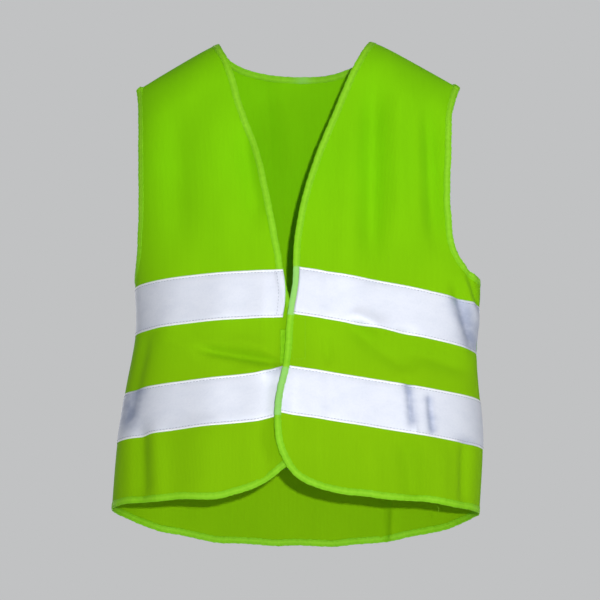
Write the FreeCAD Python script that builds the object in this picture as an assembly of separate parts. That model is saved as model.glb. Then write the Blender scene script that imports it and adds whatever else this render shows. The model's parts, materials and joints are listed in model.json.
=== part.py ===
import FreeCAD, Part
import os
from math import cos, pi, sin, sqrt

# High visibility vest, child size, worn open at the front and closed by one hook-and-loop pair.
# Millimetres. +Z is up, the vest faces -Y, and +X is the wearer's left.
# The origin is midway between the two points where the neckline meets the shoulder seams.
# The wearer's left front laps over the right one, so they are called the over and the under front.

# ---- Driving dimensions -------------------------------------------------------------------------
knit_thickness = 1.0
binding_width = 7.0
binding_thickness = 2.4
armhole_binding_seen = 5.0     # the wall turns away at the armhole, so the binding shows narrower there
tape_height = 50.0
tape_thickness = 0.5
hook_size = (16.0, 46.0)
hook_centre = (2.0, -324.0)
loop_size = (20.0, 35.0)
loop_centre = (-7.0, -331.5)
patch_thickness = 1.7
label_length = 30.0
label_height = 45.0
label_thickness = 0.6
label_hinge = (-165.0, 2.5, -345.0)
label_lean = 52.0              # degrees from +X towards +Y, along the inside of the back panel
seam_top = 4.0                 # height of the shoulder seam where it crosses the neckline
seam_fall = 0.6                # how steeply it falls towards the shoulder tips
seam_level = 82.0              # distance from the middle to where it starts to fall
seam_bend = 16.0               # how gently it starts
lap_lift = 5.0                 # how far the over front stands in front of the under front
lap_edge = 10.0                # the lift is whole up to this X and runs out by lap_end
lap_end = 85.0
fold_gap = 2.5                 # half the gap between a swinging front and the part that stays
roll_radius = 52.0             # how quickly the cloth turns down from the shoulder seam
squareness = 0.25              # 0 gives an elliptical section, more gives a flatter front and back
seam_width = 172.0             # half width that carries the shoulder seam's slope
base = -560.0                  # below every hem
above = 60.0                   # above every seam
beyond = 400.0                 # past both sides of the vest, and in front of it and behind it
neck_binding_foot = -300.0     # above this the still end of an edge binding is at the neck, below at the hem
side_reach = 215.0             # the tapes and hems are drawn out to this X and end at the side seams

# Half width of the closed torso at each height, wearer's right and left.
right_widths = [(20, 160), (-110, 170), (-210, 170), (-260, 167), (-305, 166), (-370, 177), (-430, 185),
                (-560, 193)]
left_widths = [(20, 165), (-110, 178), (-210, 184), (-260, 189), (-335, 185), (-410, 190), (-450, 189),
               (-560, 181)]
# Depth of the front from the plane of the side seams at each height; the back is a little shallower.
front_depths = [(20, 46), (-70, 50), (-490, 92), (-560, 99)]
back_share = 0.92

# Free edges as (X, Z) points of a smooth curve. Each runs past the shoulder or the side seam.
under_edge = [(-88, 22), (-81, 0), (-72, -26), (-55, -82), (-39.5, -125), (-27.5, -178), (-17.5, -231),
              (-10, -273), (1, -305), (10, -335), (16, -368), (17, -402), (7, -436), (-18, -460),
              (-45, -477), (-75, -485), (-120, -487), (-165, -488), (-215, -489)]
over_edge = [(88, 22), (78, 2), (57, -38), (38, -84), (19, -132), (4, -183), (-3, -228), (-4, -264),
             (-9.5, -300), (-13, -345), (-22, -395), (-18, -438), (0, -467), (43, -481), (115, -488),
             (165, -492), (215, -496)]
back_neck_edge = [(-88, 22), (-80, 0), (-71, -14), (-54, -22), (-28, -27), (3, -28), (28, -27), (50, -22),
                  (68, -13), (78, 2), (88, 22)]
back_hem_edge = [(-215, -480), (-191, -489), (-155, -502), (-106, -512), (-50, -517), (0, -519), (50, -518),
                 (106, -513), (150, -505), (183, -494), (215, -482)]
under_armhole = [(-170, 10), (-163, -50), (-160, -83), (-159, -125), (-159, -205), (-162, -238), (-169, -257),
                 (-205, -272)]
over_armhole = [(172, 10), (164, -45), (156, -72), (153, -122), (153, -190), (158, -228), (172, -249),
                (191, -259), (215, -264)]

# Centre lines of the tapes: heights at the side seam and at the middle of the front or back.
under_tape_lines = {"upper": (-286, -276), "lower": (-397, -380)}
over_tape_lines = {"upper": (-305, -274), "lower": (-404, -378)}
tape_overrun = 0.16            # their straight lines go on past the side seams by this share
under_tape_start = 30.0        # X at which the tapes start, hidden under the edge bindings
over_tape_start = -40.0
over_tape_tip = 4.0            # rise of the over front's tapes from the middle to that start
back_tape_dips = {"upper": 12.0, "lower": 16.0}
back_tape_rise = 3.0

# Fold lines that the fronts swing about, from the neckline down to the hem, as (X, Z).
under_fold = ((-64.0, -60.0), (-150.0, -487.0))
over_fold = ((48.0, -59.0), (150.0, -491.0))


# ---- The shape of the hanging cloth -------------------------------------------------------------
def through(table, height):
    """Smooth value of a (height, value) table, with heights running downwards."""
    last = len(table) - 1
    span = 0
    while span < last - 1 and height < table[span + 1][0]:
        span += 1
    (high, above), (low, below) = table[span], table[span + 1]
    before = table[max(span - 1, 0)]
    after = table[min(span + 2, last)]
    size = low - high
    start = (below - before[1]) / (low - before[0]) * size
    finish = (after[1] - above) / (after[0] - high) * size
    t = min(max((height - high) / size, 0.0), 1.0)
    flat = t * t * (3.0 - 2.0 * t)
    return above + (below - above) * flat + start * t * (1.0 - t) ** 2 - finish * t * t * (1.0 - t)


def smoothstep(value):
    t = min(max(value, 0.0), 1.0)
    return t * t * (3.0 - 2.0 * t)


def half_width(angle, height):
    share = (1.0 + sin(angle)) / 2.0
    return through(right_widths, height) * (1.0 - share) + through(left_widths, height) * share


def seam_height(angle):
    """Height of the shoulder seam, level across the neck and then sloping to the shoulder tips."""
    across = seam_width * abs(sin(angle)) * (1.0 + squareness * cos(angle) ** 2) - seam_level
    ramp = (across + sqrt(across ** 2 + seam_bend ** 2)) / 2.0
    return seam_top - seam_fall * ramp


def cloth_point(face, lifted, angle, height, offset):
    """A point of the front (face -1) or back (face 1), offset outwards from the middle of the cloth."""
    spread = sin(angle) * (1.0 + squareness * cos(angle) ** 2)
    x = (half_width(angle, height) + offset) * spread
    drop = min(max(seam_height(angle) + offset - height, 0.0), roll_radius)
    roll = sqrt(1.0 - (1.0 - drop / roll_radius) ** 2)
    depth = through(front_depths, height)
    if face > 0:
        depth = depth * back_share
    y = face * (depth + offset) * cos(angle) * roll
    if lifted:
        y -= lap_lift * smoothstep((lap_end - x) / (lap_end - lap_edge)) * roll
    return FreeCAD.Vector(x, y, height)


def cloth_surface(face, lifted, offset):
    """Smooth surface through a grid of cloth points, with its rows closer together near the shoulders."""
    columns = 33
    rows = 37
    crowding = 1.8
    grid = []
    for column in range(columns):
        angle = pi * (column / (columns - 1) - 0.5)
        top = seam_height(angle) + offset
        heights = [top - (top - base) * (row / (rows - 1)) ** crowding for row in range(rows)]
        grid.append([cloth_point(face, lifted, angle, height, offset) for height in heights])
    surface = Part.BSplineSurface()
    surface.interpolate(grid)
    return surface


def cloth_layer(face, lifted, inner, outer):
    """Closed solid between two offsets of the cloth, open edges capped in the plane of the seams."""
    faces = []
    borders = []
    for offset in (inner, outer):
        surface = cloth_surface(face, lifted, offset)
        first_u, last_u, first_v, last_v = surface.bounds()
        sides = [surface.uIso(first_u), surface.uIso(last_u)]
        ends = [surface.vIso(first_v), surface.vIso(last_v)]
        borders.append(sides + ends)
        faces.append(surface.toShape())
    for low, high in zip(*borders):
        faces.append(Part.makeRuledSurface(low.toShape(), high.toShape()))
    shell = Part.makeShell(faces)
    shell.sewShape()
    solid = Part.Solid(Part.Shell(shell.Faces))
    solid.fix(0.01, 0.01, 0.01)
    if solid.Volume < 0:
        solid.reverse()
    return solid


# ---- Outlines in the X-Z plane, cut through the cloth along Y -----------------------------------
def flat_point(point):
    return FreeCAD.Vector(point[0], 0.0, point[1])


def smooth_edge(points):
    curve = Part.BSplineCurve()
    curve.interpolate([flat_point(point) for point in points])
    return curve.toShape()


def inset_edge(edge, width, samples=48):
    """The same edge moved sideways; a positive width moves it to the left of its direction."""
    curve = edge.Curve
    first, last = edge.ParameterRange
    moved = []
    for index in range(samples + 1):
        at = first + (last - first) * index / samples
        point = curve.value(at)
        along = FreeCAD.Vector(*curve.tangent(at)[0])
        moved.append((point.x - along.z * width, point.z + along.x * width))
    return smooth_edge(moved)


def closed_face(edges):
    """Flat face inside a chain of edges, with straight lines across the gaps between them."""
    chain = []
    for index, edge in enumerate(edges):
        chain.append(edge)
        following = edges[(index + 1) % len(edges)]
        leave = edge.valueAt(edge.LastParameter)
        arrive = following.valueAt(following.FirstParameter)
        if leave.distanceToPoint(arrive) > 1e-6:
            chain.append(Part.makeLine(leave, arrive))
    return Part.Face(Part.Wire(chain))


def reversed_edge(edge):
    curve = edge.Curve.copy()
    curve.reverse()
    return curve.toShape()


def through_cut(face):
    """The region behind and in front of a flat face, all the way through the vest."""
    face = face.copy()
    face.translate(FreeCAD.Vector(0.0, -beyond, 0.0))
    return face.extrude(FreeCAD.Vector(0.0, 2.0 * beyond, 0.0))


def polygon(points):
    corners = [flat_point(point) for point in points]
    return Part.Face(Part.makePolygon(corners + corners[:1]))


def band(edge, width):
    return through_cut(closed_face([edge, reversed_edge(inset_edge(edge, width))]))


def side_of_fold(fold, keep, outwards):
    """Half of the vest on one side of a fold line: keep is -1 or 1 along X, outwards the clearance."""
    (top_x, top_z), (low_x, low_z) = fold
    lean = (low_x - top_x) / (low_z - top_z)
    high = (top_x + lean * (above - top_z) + keep * outwards, above)
    low = (top_x + lean * (base - top_z) + keep * outwards, base)
    return through_cut(polygon([high, low, (keep * beyond, base), (keep * beyond, above)]))


def tape_region(start, end):
    """The height of a tape above and below a straight centre line."""
    half = tape_height / 2.0
    upper = [(start[0], start[1] + half), (end[0], end[1] + half)]
    lower = [(end[0], end[1] - half), (start[0], start[1] - half)]
    return through_cut(polygon(upper + lower))


# ---- Sub-parts ----------------------------------------------------------------------------------
def save(name, shape):
    solids = shape.Solids
    result = solids[0] if len(solids) == 1 else Part.makeCompound(solids)
    print(f"{name}: {len(solids)} solid, {result.Volume / 1000:.2f} cm3, valid {result.isValid()}")
    result.exportStep(f"parts/{name}.step")


def front_parts(name, lifted, edge_points, armhole_points, fold, tape_lines, side):
    """Panel, bindings and tapes of one front. side is -1 for the wearer's right and 1 for the left."""
    half_knit = knit_thickness / 2.0
    half_binding = binding_thickness / 2.0
    knit = cloth_layer(-1, lifted, -half_knit, half_knit)
    binding = cloth_layer(-1, lifted, -half_binding, half_binding)
    tape = cloth_layer(-1, lifted, half_knit, half_knit + tape_thickness)

    edge = smooth_edge(edge_points)
    armhole = smooth_edge(armhole_points)
    inner_edge = inset_edge(edge, side * binding_width)
    inner_armhole = inset_edge(armhole, -side * armhole_binding_seen)
    inside = through_cut(closed_face([inner_edge, reversed_edge(inner_armhole)]))

    swings = side_of_fold(fold, -side, fold_gap)
    stays = side_of_fold(fold, side, fold_gap)
    panel = knit.common(inside)
    save(f"{name}_front_panel_flap", panel.common(swings))
    save(f"{name}_front_panel_side", panel.common(stays))

    edging = binding.common(band(edge, side * binding_width))
    swinging_edging = edging.common(swings)
    save(f"{name}_front_edge_binding", swinging_edging)
    save_patch(lifted, swinging_edging)
    neck_and_hem = edging.common(stays)
    neck_end = through_cut(polygon([(-beyond, neck_binding_foot), (beyond, neck_binding_foot),
                                    (beyond, above), (-beyond, above)]))
    save(f"{name}_neck_binding", neck_and_hem.common(neck_end))
    save(f"{name}_hem_binding", neck_and_hem.cut(neck_end))

    start_x = over_tape_start if lifted else under_tape_start
    tip = over_tape_tip if lifted else 0.0
    for level, (at_side, at_middle) in tape_lines.items():
        side_end = (side * side_reach, at_side + (at_side - at_middle) * tape_overrun)
        region = tape_region((0.0, at_middle), side_end)
        region = region.fuse(tape_region((start_x, at_middle + tip), (side, at_middle)))
        strip = tape.common(region).common(inside)
        save(f"{name}_{level}_tape_flap", strip.common(swings))
        save(f"{name}_{level}_tape_side", strip.common(stays))
    return binding.common(band(armhole, -side * armhole_binding_seen))


def back_parts():
    half_knit = knit_thickness / 2.0
    half_binding = binding_thickness / 2.0
    knit = cloth_layer(1, False, -half_knit, half_knit)
    binding = cloth_layer(1, False, -half_binding, half_binding)
    tape = cloth_layer(1, False, half_knit, half_knit + tape_thickness)

    neck = smooth_edge(back_neck_edge)
    hem = smooth_edge(back_hem_edge)
    armholes = [smooth_edge(under_armhole), smooth_edge(over_armhole)]
    seen = armhole_binding_seen
    inside = through_cut(closed_face([
        inset_edge(neck, -binding_width),
        inset_edge(armholes[1], -seen),
        reversed_edge(inset_edge(hem, binding_width)),
        reversed_edge(inset_edge(armholes[0], seen)),
    ]))
    save("back_panel", knit.common(inside))
    save("back_neck_binding", binding.common(band(neck, -binding_width)))
    save("back_hem_binding", binding.common(band(hem, binding_width)))
    for level, dip in back_tape_dips.items():
        right_end = under_tape_lines[level][0]
        left_end = over_tape_lines[level][0]
        middle = (right_end + left_end) / 2.0 - dip
        centre = smooth_edge([(-side_reach, right_end + back_tape_rise), (-170.0, right_end), (0.0, middle),
                              (185.0, left_end), (side_reach, left_end + back_tape_rise)])
        upper = inset_edge(centre, tape_height / 2.0)
        lower = inset_edge(centre, -tape_height / 2.0)
        region = through_cut(closed_face([upper, reversed_edge(lower)]))
        save(f"back_{level}_tape", tape.common(region).common(inside))
    return binding.common(band(armholes[0], seen)), binding.common(band(armholes[1], -seen))


def save_patch(lifted, edging):
    """Hook patch inside the over front or loop patch outside the under front, beside the edge binding."""
    name = "hook_patch" if lifted else "loop_patch"
    wide, high = hook_size if lifted else loop_size
    x, z = hook_centre if lifted else loop_centre
    left, right = x - wide / 2.0, x + wide / 2.0
    low, top = z - high / 2.0, z + high / 2.0
    region = through_cut(polygon([(left, low), (right, low), (right, top), (left, top)]))
    near = knit_thickness / 2.0
    far = near + patch_thickness
    layer = cloth_layer(-1, lifted, -far, -near) if lifted else cloth_layer(-1, lifted, near, far)
    save(name, layer.common(region).cut(edging))


def care_label():
    x, y, z = label_hinge
    label = Part.makeBox(label_length, label_thickness, label_height)
    label.translate(FreeCAD.Vector(0.0, -label_thickness / 2.0, -label_height / 2.0))
    label.rotate(FreeCAD.Vector(0, 0, 0), FreeCAD.Vector(0, 0, 1), label_lean)
    label.translate(FreeCAD.Vector(x, y, z))
    save("care_label", label)


os.makedirs("parts", exist_ok=True)
under_front_armhole = front_parts("under", False, under_edge, under_armhole, under_fold, under_tape_lines, -1)
over_front_armhole = front_parts("over", True, over_edge, over_armhole, over_fold, over_tape_lines, 1)
under_back_armhole, over_back_armhole = back_parts()
save("under_armhole_binding", under_front_armhole.fuse(under_back_armhole))
save("over_armhole_binding", over_front_armhole.fuse(over_back_armhole))
care_label()
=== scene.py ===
import json
from math import cos, pi, radians

import bmesh
import bpy
import numpy as np
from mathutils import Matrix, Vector


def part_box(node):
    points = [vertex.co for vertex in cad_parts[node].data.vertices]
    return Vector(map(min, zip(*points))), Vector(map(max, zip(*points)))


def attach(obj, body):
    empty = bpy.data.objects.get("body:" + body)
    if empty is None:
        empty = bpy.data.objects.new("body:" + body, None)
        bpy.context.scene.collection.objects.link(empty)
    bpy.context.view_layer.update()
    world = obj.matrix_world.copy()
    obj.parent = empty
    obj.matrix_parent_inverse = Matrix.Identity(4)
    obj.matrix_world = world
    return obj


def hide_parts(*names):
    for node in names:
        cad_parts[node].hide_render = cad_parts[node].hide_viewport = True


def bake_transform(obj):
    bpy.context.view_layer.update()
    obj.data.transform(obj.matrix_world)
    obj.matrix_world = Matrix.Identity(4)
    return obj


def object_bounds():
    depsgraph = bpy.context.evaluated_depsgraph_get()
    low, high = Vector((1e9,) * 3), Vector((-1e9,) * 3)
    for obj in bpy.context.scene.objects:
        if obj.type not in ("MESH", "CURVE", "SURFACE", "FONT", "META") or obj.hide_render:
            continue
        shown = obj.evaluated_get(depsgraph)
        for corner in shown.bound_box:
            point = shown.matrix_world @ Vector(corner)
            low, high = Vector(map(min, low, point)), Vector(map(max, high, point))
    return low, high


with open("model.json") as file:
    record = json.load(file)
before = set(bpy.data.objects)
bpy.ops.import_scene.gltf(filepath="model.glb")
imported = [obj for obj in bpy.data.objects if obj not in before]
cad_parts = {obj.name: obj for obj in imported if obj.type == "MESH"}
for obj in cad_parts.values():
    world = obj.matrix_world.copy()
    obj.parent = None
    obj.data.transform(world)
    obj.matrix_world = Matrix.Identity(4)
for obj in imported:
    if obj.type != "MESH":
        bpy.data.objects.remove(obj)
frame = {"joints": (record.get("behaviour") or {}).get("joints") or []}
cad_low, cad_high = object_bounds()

# Fluorescent vest hung open-bottomed as worn, in metres, in the CAD model's own frame.
# The wearer's left front (+X) laps over the right one, so they are the over and the under front.
MM = 0.001

# ---- The shape of the hanging cloth: the same driving sizes as the CAD solids ----
ROLL_RADIUS = 52 * MM
SQUARENESS = 0.25
SEAM_WIDTH = 172 * MM
SEAM_TOP = 4 * MM
SEAM_FALL = 0.6
SEAM_LEVEL = 82 * MM
SEAM_BEND = 16 * MM
LAP_LIFT = 5 * MM
LAP_EDGE = 10 * MM
LAP_END = 85 * MM
BACK_SHARE = 0.92
RIGHT_WIDTHS = [(20, 160), (-110, 170), (-210, 170), (-260, 167), (-305, 166), (-370, 177), (-430, 185),
                (-560, 193)]
LEFT_WIDTHS = [(20, 165), (-110, 178), (-210, 184), (-260, 189), (-335, 185), (-410, 190), (-450, 189),
               (-560, 181)]
FRONT_DEPTHS = [(20, 46), (-70, 50), (-490, 92), (-560, 99)]

# Free edges as (X, Z) points of a smooth curve, in millimetres, each from seam to seam. The peak of the neck on
# the under front's side is up to 2.5 mm rounder than in the CAD, as in the photograph.
UNDER_EDGE = [(-83.5, 0), (-79.5, -10), (-72, -26), (-55, -82), (-39.5, -125), (-27.5, -178), (-17.5, -231),
              (-10, -273), (1, -305), (10, -335), (16, -368), (17, -402), (7, -436), (-18, -460),
              (-45, -477), (-75, -485), (-120, -487), (-165, -488), (-190, -489)]
OVER_EDGE = [(78, 2), (57, -38), (38, -84), (19, -132), (4, -183), (-3, -228), (-4, -264), (-9.5, -300),
             (-13, -345), (-22, -395), (-18, -438), (0, -467), (43, -481), (115, -488), (165, -492),
             (183, -494)]
BACK_NECK = [(-83.5, 0), (-72, -12), (-54, -20.5), (-28, -26), (3, -28), (28, -27), (50, -22), (68, -13),
             (78, 2)]
BACK_HEM = [(-190, -489), (-155, -502), (-106, -512), (-50, -517), (0, -519), (50, -518), (106, -513),
            (150, -505), (183, -494)]
UNDER_ARMHOLE = [(-162, -48), (-160, -83), (-159, -125), (-159, -205), (-162, -238), (-167, -256)]
OVER_ARMHOLE = [(164, -46), (156, -72), (153, -122), (153, -190), (158, -228), (172, -249), (189, -259)]

# Heights of the tapes' centre lines at the side seam and at the middle of the front.
UNDER_TAPES = {"upper": (-286, -276), "lower": (-397, -380)}
OVER_TAPES = {"upper": (-305, -274), "lower": (-404, -378)}
BACK_TAPE_DIPS = {"upper": 12, "lower": 16}

HOOK_SIZE, HOOK_CENTRE = (16, 46), (2, -324)
LOOP_SIZE, LOOP_CENTRE = (20, 35), (-7, -331.5)


def through(table, height):
    """Smooth values of a (height, value) table in millimetres at heights in metres."""
    knots = np.array(table, float) * MM
    z = np.asarray(height, float)
    span = np.clip(np.searchsorted(-knots[:, 0], -z) - 1, 0, len(knots) - 2)
    high, low = knots[span], knots[span + 1]
    before = knots[np.maximum(span - 1, 0)]
    after = knots[np.minimum(span + 2, len(knots) - 1)]
    size = low[..., 0] - high[..., 0]
    start = (low[..., 1] - before[..., 1]) / (low[..., 0] - before[..., 0]) * size
    finish = (after[..., 1] - high[..., 1]) / (after[..., 0] - high[..., 0]) * size
    t = np.clip((z - high[..., 0]) / size, 0, 1)
    level = high[..., 1] + (low[..., 1] - high[..., 1]) * t * t * (3 - 2 * t)
    return level + start * t * (1 - t) ** 2 - finish * t * t * (1 - t)


def smoothstep(value):
    t = np.clip(value, 0, 1)
    return t * t * (3 - 2 * t)


def bump(x, centre, width):
    return np.exp(-((x - centre) / width) ** 2)


# ---- Folds, as a distance outwards for places (x, z) ----
def drape(x, z, seed):
    """Long soft folds that hang from the shoulders, about two millimetres deep."""
    rng = np.random.default_rng(seed)
    total = 0
    for _ in range(5):
        pitch, tilt = rng.uniform(0.05, 0.12), rng.uniform(-0.25, 0.25)
        phase, size = rng.uniform(0, 2 * pi), rng.uniform(0.3, 0.9)
        wander = 1.3 * np.sin(z / 0.11 + phase)
        total = total + size * np.sin(2 * pi * (x + tilt * z) / pitch + phase + wander)
    return total * MM


def fold(x, z, start, end, width, depth, fade=0.3):
    """One fold along a line between two (x, z) points in millimetres, fading out at its ends."""
    (x0, z0), (x1, z1) = start, end
    run_x, run_z = (x1 - x0) * MM, (z1 - z0) * MM
    length = np.hypot(run_x, run_z)
    from_x, from_z = x - x0 * MM, z - z0 * MM
    along = (from_x * run_x + from_z * run_z) / length ** 2
    aside = (from_x * run_z - from_z * run_x) / length
    ends = smoothstep(along / fade) * smoothstep((1 - along) / fade)
    return depth * MM * ends * np.exp(-(aside / (width * MM)) ** 2)


# Start, end, half width and depth of the folds that show, in millimetres; a negative depth is a valley.
UNDER_FOLDS = [
    ((-58, -90), (-38, -215), 11, -6.5), ((-84, -50), (-70, -240), 20, 3.6),
    ((-128, -60), (-118, -250), 16, -4.0), ((-112, -330), (-4, -350), 5.5, -6.5),
    ((-76, -320), (-2, -341), 7, 2.2), ((-66, -352), (-8, -361), 6, 1.8),
    ((-160, -395), (-157, -500), 9, -6.0), ((-144, -400), (-137, -500), 9, 2.6),
    ((-92, -395), (-96, -500), 22, 3.6), ((-34, -400), (-30, -490), 10, -3.2),
    ((-150, -300), (-176, -420), 7, -3.0), ((-150, -310), (-90, -345), 9, 2.2),
    ((6, -346), (4, -440), 17, -5.0),
]
OVER_FOLDS = [
    ((80, -25), (76, -270), 12, -9.5), ((105, -30), (104, -230), 9, 3.6),
    ((56, -70), (50, -270), 13, 3.6), ((137, -60), (143, -240), 10, -8.0),
    ((122, -45), (124, -240), 8, 1.8), ((158, -250), (184, -338), 6.5, -5.0),
    ((172, -240), (190, -292), 2.6, -2.0), ((166, -246), (188, -305), 2.6, 1.6),
    ((24, -312), (32, -354), 7, -3.0), ((46, -302), (112, -354), 10, -5.5),
    ((50, -296), (95, -316), 8, 2.6), ((104, -306), (114, -362), 12, -5.0),
    ((100, -330), (186, -352), 10, -5.0), ((110, -352), (117, -420), 3.2, -1.9),
    ((115, -385), (121, -425), 2.2, 1.0), ((132, -375), (137, -424), 2.8, -1.5),
    ((112, -415), (120, -500), 13, -8.0), ((72, -410), (76, -500), 12, 3.4),
    ((171, -415), (169, -500), 6, -4.4), ((146, -420), (146, -500), 9, 2.2),
    ((12, -400), (26, -485), 9, -2.4), ((-12, -340), (-24, -448), 10, 4.0),
]
BACK_FOLDS = [
    ((-33, -20), (-30, -160), 11, 3.6), ((-8, -30), (6, -220), 16, -2.8),
    ((52, -40), (44, -260), 14, 2.4), ((90, -440), (88, -540), 10, 4.0),
    ((101, -440), (99, -540), 4.5, -3.2), ((-120, -430), (-124, -530), 16, -3.2),
    ((-60, -430), (-54, -540), 18, 2.8), ((30, -430), (24, -540), 16, -2.6),
    ((-90, -60), (-110, -420), 18, -3.2), ((118, -60), (128, -420), 18, -3.2),
    ((-26, -453), (12, -456), 1.2, 0.5),
]
SEAM_GROOVE = 0.5 * MM
SEAM_WIDENESS = 1.6 * MM
HANG_FROM, HANG_RAMP = -0.03, 0.1
OWN_DRAPE, LAP_DRAPE, LAP_SEED = 0.6, 0.4, 5
LAP_RIGHT, LAP_LEFT, LAP_TOP = -0.036, 0.032, -0.2


def all_folds(table, seed, x, y, z, angle, apart):
    """Folds of one panel and the seams' grooves. Where the fronts lap, both share a drape, and their own
    folds only move them apart: outwards for the over front (apart 1), inwards for the under one (-1)."""
    hang = smoothstep((HANG_FROM - z) / HANG_RAMP) * np.cos(angle) ** 0.5
    waves, folds = OWN_DRAPE * drape(x, z, seed) * hang, 0
    for start, end, width, depth in table:
        folds = folds + fold(x, z, start, end, width, depth)
    lap = (smoothstep((x - LAP_RIGHT) / 0.014) * smoothstep((LAP_LEFT - x) / 0.012)
           * smoothstep((LAP_TOP - z) / 0.06) * abs(apart))
    waves = waves * (1 - lap) + LAP_DRAPE * drape(x, z, LAP_SEED) * lap
    parting = apart * np.maximum(apart * folds, 0)
    return waves + folds * (1 - lap) + parting * lap - SEAM_GROOVE * bump(y, 0, SEAM_WIDENESS)


class Cloth:
    """One face of the vest: front (-1) or back (1). Places are given by angle round the body and height."""

    def __init__(self, face, lifted, table, seed, apart):
        self.face = face
        self.lifted = lifted
        self.table = table
        self.seed = seed
        self.apart = apart

    def spread(self, angle):
        return np.sin(angle) * (1 + SQUARENESS * np.cos(angle) ** 2)

    def half_width(self, angle, z):
        share = (1 + np.sin(angle)) / 2
        return through(RIGHT_WIDTHS, z) * (1 - share) + through(LEFT_WIDTHS, z) * share

    def x(self, angle, z):
        return self.half_width(angle, z) * self.spread(angle)

    def seam_height(self, angle):
        across = SEAM_WIDTH * np.abs(self.spread(angle)) - SEAM_LEVEL
        return SEAM_TOP - SEAM_FALL * (across + np.sqrt(across ** 2 + SEAM_BEND ** 2)) / 2

    def base(self, angle, z):
        x = self.x(angle, z)
        drop = np.clip(self.seam_height(angle) - z, 0, ROLL_RADIUS)
        roll = np.sqrt(1 - (1 - drop / ROLL_RADIUS) ** 2)
        depth = through(FRONT_DEPTHS, z) * (BACK_SHARE if self.face > 0 else 1)
        y = self.face * depth * np.cos(angle) * roll
        if self.lifted:
            y = y - LAP_LIFT * smoothstep((LAP_END - x) / (LAP_END - LAP_EDGE)) * roll
        return np.stack([x, y, z + 0 * x], -1)

    def normal(self, place, angle, z):
        step = 0.004
        inside = -np.sign(angle + 1e-9)
        across = (place(angle + inside * step, z) - place(angle, z)) * inside[..., None]
        down = place(angle, z - 0.6 * MM) - place(angle, z)
        return unit(np.cross(across, down) * self.face)

    def folded(self, angle, z):
        p = self.base(angle, z)
        turned = np.clip(angle, -pi / 2, pi / 2)
        out = all_folds(self.table, self.seed, p[..., 0], p[..., 1], p[..., 2], turned, self.apart)
        return p + self.normal(self.base, angle, z) * out[..., None]

    def point(self, angle, z, offset=0.0):
        """Points of the cloth, moved outwards by offset."""
        angle, z = np.broadcast_arrays(np.asarray(angle, float), np.asarray(z, float))
        return self.folded(angle, z) + self.normal(self.folded, angle, z) * np.asarray(offset)[..., None]

    def angle_at(self, x, z):
        """The angle whose point has this x."""
        x, z = np.broadcast_arrays(np.asarray(x, float), np.asarray(z, float))
        low, high = np.full(x.shape, -pi / 2), np.full(x.shape, pi / 2)
        for _ in range(40):
            middle = (low + high) / 2
            less = self.x(middle, z) < x
            low, high = np.where(less, middle, low), np.where(less, high, middle)
        return (low + high) / 2


UNDER = Cloth(-1, False, UNDER_FOLDS, 3, -1)
OVER = Cloth(-1, True, OVER_FOLDS, 8, 1)
BACK = Cloth(1, False, BACK_FOLDS, 21, 0)


# ---- Lines on the cloth ----
def resample(path, count):
    """Evenly spaced points along a polyline of any dimension."""
    along = lengths(path)
    return pick(np.linspace(0, along[-1], count), along, path)


def lengths(path):
    """Distance along a polyline to each of its points."""
    return np.concatenate([[0], np.cumsum(np.linalg.norm(np.diff(path, axis=0), axis=1))])


def pick(at, along, values):
    """Rows of values, known at distances along a line, at other distances."""
    return np.stack([np.interp(at, along, column) for column in values.T], -1)


def unit(vectors):
    return vectors / np.maximum(np.linalg.norm(vectors, axis=-1, keepdims=True), 1e-12)


def pair(across, down):
    """The two coordinates of each point of a grid, from any shapes that fit together."""
    return np.stack(np.broadcast_arrays(across, down), -1)


HEM_ABOVE = -440 * MM


def spline(points, count):
    """Evenly spaced (x, z) samples in metres of a smooth curve through points in millimetres."""
    knots = np.array(points, float) * MM
    along = lengths(knots)
    slopes = np.gradient(knots, along, axis=0, edge_order=2)
    at = np.linspace(0, along[-1], 40 * len(knots))
    span = np.clip(np.searchsorted(along, at, side="right") - 1, 0, len(knots) - 2)
    size = (along[span + 1] - along[span])[:, None]
    t = (at - along[span])[:, None] / size
    path = (knots[span] * (2 * t ** 3 - 3 * t ** 2 + 1) + slopes[span] * size * (t ** 3 - 2 * t ** 2 + t)
            + knots[span + 1] * (3 * t ** 2 - 2 * t ** 3) + slopes[span + 1] * size * (t ** 3 - t ** 2))
    ripple = 0.6 * np.sin(path[:, 0] / 0.0095 + 1) + 0.5 * np.sin(path[:, 0] / 0.021 + 2)
    path[:, 1] += ripple * MM * smoothstep((HEM_ABOVE - path[:, 1]) / 0.03)
    return resample(path, count)


def on_cloth(cloth, path):
    return np.stack([cloth.angle_at(path[:, 0], path[:, 1]), path[:, 1]], 1)


def even(cloth, chain, count):
    """The chain with points evenly spaced along the hanging cloth."""
    radius = np.array([0.16, 1.0])
    dense = resample(chain * radius, 600) / radius
    own, steps = np.linspace(0, 1, 600), np.linspace(0, 1, 3000)
    fine = pick(steps, own, dense)
    along = lengths(cloth.base(fine[:, 0], fine[:, 1]))
    return pick(np.linspace(0, along[-1], count), along, fine)


def from_seam(cloth, chain):
    """The chain with its first point put on the shoulder seam."""
    chain = chain.copy()
    chain[0, 1] = cloth.seam_height(chain[0, 0])
    return chain


def side_chain(cloth, armhole, side, foot):
    """Armhole from the shoulder tip to the side seam, then down the seam to the hem."""
    hole = from_seam(cloth, on_cloth(cloth, spline(armhole, 160)))
    seam_z = np.linspace(hole[-1, 1], foot, 80)[1:]
    seam = np.stack([np.full(len(seam_z), side * pi / 2), seam_z], 1)
    return np.vstack([hole, seam])


def seam_chain(cloth, start, end, count):
    """Along the shoulder seam between two angles."""
    angle = np.linspace(start, end, count)
    return np.stack([angle, cloth.seam_height(angle)], 1)


def front_edge_chain(cloth, edge_points, side, count):
    chain = from_seam(cloth, on_cloth(cloth, spline(edge_points, 900)))
    chain[-1, 0] = side * pi / 2
    return even(cloth, chain, count)


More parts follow.
